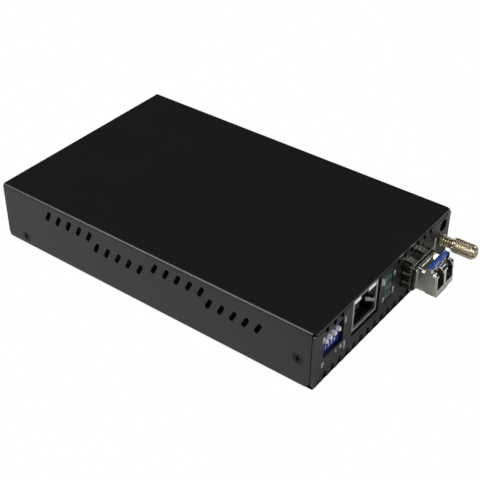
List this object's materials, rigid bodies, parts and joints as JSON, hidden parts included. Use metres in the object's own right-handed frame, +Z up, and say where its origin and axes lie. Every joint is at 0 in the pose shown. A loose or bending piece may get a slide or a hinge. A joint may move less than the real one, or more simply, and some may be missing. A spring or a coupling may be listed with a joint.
{
  "type": "fibre media converter",
  "caption": "Flat black steel box with side vents that joins a copper network jack to a plug-in fibre transceiver, with slide switches, status lamps and a spring-loaded thumbscrew.",
  "frame": {"origin": "centre of the case's underside, midway between its sides and between the front face and the cover's rear edge", "axes": "+X to the right seen from the front, +Y from the front panel to the rear, +Z up"},
  "size_m": [0.09, 0.1564, 0.0234],
  "materials": {
    "case_paint": "fine black powder coat",
    "screw_black": "black zinc plate",
    "screw_nickel": "nickel plate",
    "screw_zinc": "zinc plate",
    "board_green": "solder mask",
    "jack_metal": "tin plate",
    "jack_plastic": "moulded black",
    "contact_gold": "gold flash",
    "lamp_clear": "translucent",
    "switch_blue": "moulded blue",
    "lever_white": "moulded white",
    "lamp_green": "translucent green",
    "lens_green": "clear green",
    "cage_metal": "nickel plate",
    "connector_black": "moulded black",
    "module_metal": "nickel-plated casting",
    "bail_metal": "satin nickel",
    "grip_blue": "moulded blue sleeve",
    "ferrule_white": "ceramic",
    "inlet_metal": "nickel plate",
    "chip_black": "moulded package",
    "sink_black": "black anodised",
    "can_metal": "drawn can"
  },
  "bodies": {
    "case": {"top_cover": "case_paint", "base_tray": "case_paint", "cover_screws": "screw_black", "thumbscrew_bush": "screw_nickel", "thumbscrew_spring": "screw_nickel", "board_screws": "screw_zinc", "board_standoffs": "screw_zinc", "circuit_board": "board_green", "jack_shield": "jack_metal", "jack_housing": "jack_plastic", "inlet_body": "jack_plastic", "power_inductor": "jack_plastic", "jack_contacts": "contact_gold", "jack_lamps": "lamp_clear", "switch_body": "switch_blue", "lamp_housing": "lamp_green", "lamp_lenses": "lens_green", "transceiver_cage": "cage_metal", "cage_springs": "cage_metal", "host_connector": "connector_black", "inlet_pin": "inlet_metal", "inlet_leaf": "inlet_metal", "main_chip": "chip_black", "second_chip": "chip_black", "memory_chip": "chip_black", "regulator_chip": "chip_black", "line_transformer": "chip_black", "heat_sink": "sink_black", "crystal_can": "can_metal", "storage_capacitors": "can_metal"},
    "lever_1": {"switch_lever_1": "lever_white"},
    "lever_2": {"switch_lever_2": "lever_white"},
    "lever_3": {"switch_lever_3": "lever_white"},
    "lever_4": {"switch_lever_4": "lever_white"},
    "thumb_clip": {"thumbscrew_clip": "screw_nickel"},
    "thumb": {"thumbscrew": "screw_nickel"},
    "module": {"module_shell": "module_metal", "module_nose": "module_metal", "module_card": "board_green", "port_ferrules": "ferrule_white", "bail_pins": "bail_metal"},
    "bail": {"module_bail": "bail_metal", "bail_grip": "grip_blue"},
    "latch": {"module_latch": "module_metal"}
  },
  "joints": [
    {"name": "lever_1_slide", "type": "slide", "parent": "case", "child": "lever_1", "axis": [0, 0, -1], "range_m": [0, 0.002]},
    {"name": "lever_2_slide", "type": "slide", "parent": "case", "child": "lever_2", "axis": [0, 0, -1], "range_m": [0, 0.002]},
    {"name": "lever_3_slide", "type": "slide", "parent": "case", "child": "lever_3", "axis": [0, 0, -1], "range_m": [0, 0.002]},
    {"name": "lever_4_slide", "type": "slide", "parent": "case", "child": "lever_4", "axis": [0, 0, -1], "range_m": [0, 0.002]},
    {"name": "thumb_push", "type": "slide", "parent": "case", "child": "thumb_clip", "axis": [0, 1, 0], "range_m": [0, 0.0016], "stiffness_N_per_m": 400, "springref_m": -0.0008, "deforming": ["thumbscrew_spring"]},
    {"name": "thumb_turn", "type": "hinge", "parent": "thumb_clip", "child": "thumb", "pos_m": [0.04, -0.0752, 0.0115], "axis": [0, -1, 0], "continuous": true},
    {"name": "module_slide", "type": "slide", "parent": "case", "child": "module", "axis": [0, -1, 0], "range_m": [0, 0.05]},
    {"name": "bail_turn", "type": "hinge", "parent": "module", "child": "bail", "pos_m": [0.01775, -0.082, 0.0106], "axis": [1, 0, 0], "range_deg": [0, 90]},
    {"name": "latch_slide", "type": "slide", "parent": "module", "child": "latch", "axis": [0, 1, 0], "range_m": [0, 0.0012]}
  ],
  "couplings": [
    {"joint": "bail_turn", "follows": "latch_slide", "rad_per_m": 1309}
  ]
}
